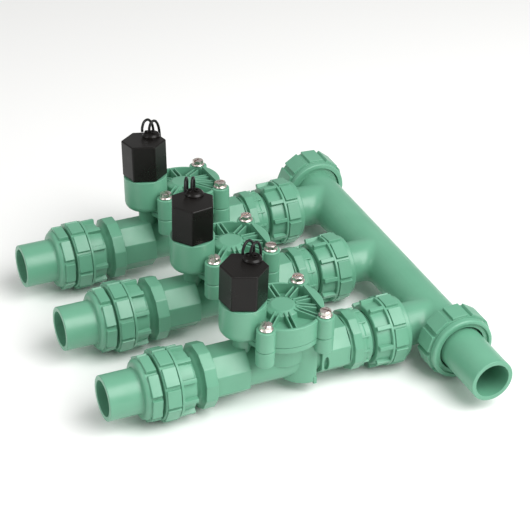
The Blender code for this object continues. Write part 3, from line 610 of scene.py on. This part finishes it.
def header_shell():
    """One smooth skin over the header and its tees, with moulded fillets."""
    rough = carve(rod(HEADER_RADIUS, -36.0, 222.0, "Y"),
                  [rod(TEE_RADIUS, -50.0, 0.0, "X", (0, station, 0)) for station in TEES])
    holder = bpy.data.objects.new("rough", rough)
    bpy.context.scene.collection.objects.link(holder)
    remesh = holder.modifiers.new("even", "REMESH")
    remesh.mode = "VOXEL"
    remesh.voxel_size = 1.4
    mesh = bpy.data.meshes.new_from_object(holder.evaluated_get(bpy.context.evaluated_depsgraph_get()))
    bpy.data.objects.remove(holder, do_unlink=True)
    places = np.empty(len(mesh.vertices) * 3)
    mesh.vertices.foreach_get("co", places)
    places = places.reshape(-1, 3)
    step = 0.01
    for _ in range(5):
        value = header_distance(places)
        slope = np.stack([(header_distance(places + nudge) - value) / step for nudge in np.eye(3) * step], 1)
        length = np.maximum((slope ** 2).sum(1), 0.05)
        near = np.abs(value) < 3.5
        places -= np.where(near, value / length, 0)[:, None] * slope
    mesh.vertices.foreach_set("co", places.ravel())
    return mesh


def header_manifold():
    """Works in the header's frame: Y along the header, X = 0 on its axis, tees towards -X."""
    trim = slab((-33.6, -22.6, -30.0), (30.0, 205.0, 30.0))
    shell = carve(header_shell(), keep=[trim])
    threads = [rod(THREAD_RADIUS, -44.0, -31.2, "X", (0, station, 0), 0.5) for station in TEES]
    ends = [rod(THREAD_RADIUS, low, high, "Y", corner=0.5) for low, high in ((-31.7, -23.3), (204.8, 217.0))]
    bores = [rod(PIPE_BORE, -40.0, 225.0, "Y", segments=64)]
    bores += [rod(FLOW_BORE, -60.0, 0.0, "X", (0, station, 0), segments=48) for station in TEES]
    return carve(shell, threads + ends, bores)


def header_inlet_spigot():
    return turned([
        (THREAD_RADIUS, -32.0, 0.3), (THREAD_RADIUS, -35.0, 0.3), (PIPE_RADIUS, -35.0),
        (PIPE_RADIUS, -87.1, 0.6), (PIPE_BORE, -87.1, 0.5), (PIPE_BORE, -32.0)], "Y")


def header_inlet_nut():
    radius = HEADER_NUT_RADIUS
    shell = turned([
        (NUT_BORE, -22.3, 0.3), (radius, -22.3, 0.6), (radius, -39.3), (23.9, -39.5), (23.9, -40.2),
        (radius, -40.4, 0.3), (radius, -45.0, 1.7), (21.6, -45.0, 0.7), (20.9, -43.2, 0.4),
        (18.2, -43.2, 0.3), (18.2, -35.3), (NUT_BORE, -35.3)], "Y")
    pads = grip_slabs("Y", HEADER_NUT_CLOCK, (-39.0, -23.2), PAD_REACH, PAD_FOOT, HEADER_PAD_HALF_WIDTH)
    return carve(shell, pads)


def header_end_cap():
    radius = HEADER_NUT_RADIUS
    shell = turned([
        (0, 223.0), (NUT_BORE, 223.0), (NUT_BORE, 203.0, 0.4), (radius, 203.0, 1.2), (radius, 207.2, 0.3),
        (23.9, 207.4), (23.9, 208.0), (radius, 208.2), (radius, 227.0, 1.2), (17.0, 227.0, 0.6),
        (16.0, 226.0, 0.6), (0, 226.0)], "Y")
    pads = grip_slabs("Y", CAP_CLOCK, (208.4, 226.4), PAD_REACH, PAD_FOOT, HEADER_PAD_HALF_WIDTH)
    return carve(shell, pads)


# ---- assembly --------------------------------------------------------------
def frame_matrix(number):
    """Where a valve's frame lies: its outlet nut's joint gives the place, its solenoid's joint the tilt."""
    at = Vector(JOINTS[f"valve_{number}_outlet_nut_turn"]["pos_m"])
    tilt = Vector(JOINTS[f"valve_{number}_solenoid_bleed_turn"]["axis"])
    at.x -= OUTLET_NUT_STATION / 1000
    return Matrix.Translation(at) @ Matrix.Rotation(math.atan2(-tilt.y, tilt.z), 4, "X")


def assemble_valve(number, shared):
    """Places one valve; the screws' slots are left at any angle, as a driver leaves them."""
    tag = f"valve_{number}_"
    place = frame_matrix(number)
    index = number - 1
    for node, mesh in shared["fixed"].items():
        piece(f"{tag}{node}_moulded", mesh, place, "manifold", tag + node, GREEN)
    for node, clocks in (("outlet_nut", OUTLET_NUT_CLOCKS), ("inlet_nut", INLET_NUT_CLOCKS)):
        turn = place @ spin("X", -clocks[index])
        piece(f"{tag}{node}_moulded", shared[node], turn, tag + node, tag + node, GREEN)
    for n, lug in enumerate(LUGS, 1):
        turn = place @ Matrix.Translation((lug[0] / 1000, lug[1] / 1000, 0)) @ spin("Z", 37 * n + 20 * number)
        node = f"{tag}bonnet_screw_{n}"
        piece(node + "_plated", shared["screw"], turn, "manifold", node, STEEL)
    unit = tag + "solenoid_unit"
    axis = place @ Matrix.Translation((SOLENOID_X / 1000, 0, 0))
    piece(tag + "solenoid_moulded", shared["solenoid"], axis @ spin("Z", SOLENOID_TURNS[index]), unit,
          tag + "solenoid", BLACK, 50.0)
    turn = axis @ spin("Z", SOLENOID_TURNS[index] - SOLENOID_TURNS[0])
    for letter in LEAD_POINTS:
        lead(f"{tag}lead_{letter}_wire", letter, turn, unit, f"{tag}lead_{letter}")


def assemble():
    """Makes each shape once, then puts the three valves and the header together."""
    shared = {
        "fixed": {"outlet_spigot": outlet_spigot(), "outlet_tailpiece": outlet_tailpiece(),
                  "inlet_tailpiece": inlet_tailpiece(), "body": valve_body(), "bonnet": bonnet()},
        "outlet_nut": outlet_nut(),
        "inlet_nut": inlet_nut(),
        "screw": bonnet_screw(),
        "solenoid": solenoid(),
    }
    for number in (1, 2, 3):
        assemble_valve(number, shared)
    at = Vector(JOINTS["header_inlet_nut_turn"]["pos_m"])
    at.y -= HEADER_NUT_STATION / 1000
    place = Matrix.Translation(at)
    for node, body, shape in (("header_manifold", "manifold", header_manifold),
                              ("header_inlet_spigot", "manifold", header_inlet_spigot),
                              ("header_inlet_nut", "header_inlet_nut", header_inlet_nut),
                              ("header_end_cap", "header_end_cap", header_end_cap)):
        piece(node + "_moulded", shape(), place, body, node, GREEN)


def dress_hidden_nodes():
    """The working parts inside keep their CAD shapes and get their own materials."""
    looks = {"diaphragm": RUBBER, "poppet": BLACK, "diaphragm_spring": WIRE, "plunger": IRON}
    for number in (1, 2, 3):
        for node, look in looks.items():
            dress(f"valve_{number}_{node}", look)
    dress("end_cap_seal", RUBBER)


def dress(node, look):
    for slot in frame["nodes"][node].material_slots:
        slot.material = look


# ---- stage -----------------------------------------------------------------
CAMERA_AZIMUTH = 25.22                # degrees from +Y towards +X, the way the camera looks
CAMERA_ELEVATION = 32.78              # degrees that it looks down
CAMERA_ROLL = 1.64
CAMERA_DISTANCE = 1.35262             # metres
CAMERA_TARGET = (26.7, 86.25, 20.0)   # millimetres, in the frame of the nearest valve
CAMERA_FIELD = 17.008                 # degrees


def add_camera():
    data = bpy.data.cameras.new("photo_camera")
    data.sensor_width = 36.0
    data.angle = math.radians(CAMERA_FIELD)
    data.clip_end = 20.0
    made = bpy.data.objects.new("photo_camera", data)
    bpy.context.scene.collection.objects.link(made)
    origin = frame_matrix(1).translation
    aim = origin + Vector(CAMERA_TARGET) / 1000
    azimuth, elevation = math.radians(CAMERA_AZIMUTH), math.radians(CAMERA_ELEVATION)
    forward = Vector((math.sin(azimuth) * math.cos(elevation), math.cos(azimuth) * math.cos(elevation),
                      -math.sin(elevation)))
    turn = forward.to_track_quat("-Z", "Y").to_matrix().to_4x4()
    made.matrix_world = (Matrix.Translation(aim - forward * CAMERA_DISTANCE) @ turn
                         @ Matrix.Rotation(math.radians(CAMERA_ROLL), 4, "Z"))
    bpy.context.scene.camera = made


def area_light(name, place, aim, size, power):
    data = bpy.data.lights.new(name, "AREA")
    data.shape = "RECTANGLE"
    data.size, data.size_y = size
    data.energy = power
    made = bpy.data.objects.new(name, data)
    bpy.context.scene.collection.objects.link(made)
    made.location = place
    made.rotation_euler = (Vector(aim) - Vector(place)).to_track_quat("-Z", "Y").to_euler()


FLOOR_Z = -0.0002                     # metres; just below the nuts that the manifold stands on


def add_floor():
    build = bmesh.new()
    bmesh.ops.create_grid(build, x_segments=1, y_segments=1, size=4.0)
    mesh = mesh_from(build)
    made, _, _, shader = shader_material("pale_floor")
    shader.inputs["Base Color"].default_value = (0.93, 0.93, 0.92, 1)
    shader.inputs["Roughness"].default_value = 0.7
    mesh.materials.append(made)
    floor = bpy.data.objects.new("floor", mesh)
    floor.location.z = FLOOR_Z
    bpy.context.scene.collection.objects.link(floor)


def add_lights():
    world = bpy.data.worlds.new("studio")
    world.use_nodes = True
    background = world.node_tree.nodes["Background"]
    background.inputs["Color"].default_value = (1.0, 1.0, 0.99, 1)
    background.inputs["Strength"].default_value = 0.44
    bpy.context.scene.world = world
    area_light("key", (0.42, -0.72, 1.05), (0, 0, 0), (1.1, 1.1), 23.0)
    area_light("side_strip", (-1.2, 0.2, 0.8), (0, 0, 0.03), (0.3, 1.2), 5.0)


bpy.context.scene.view_settings.view_transform = "Standard"
add_camera()
assemble()
dress_hidden_nodes()
add_floor()
add_lights()
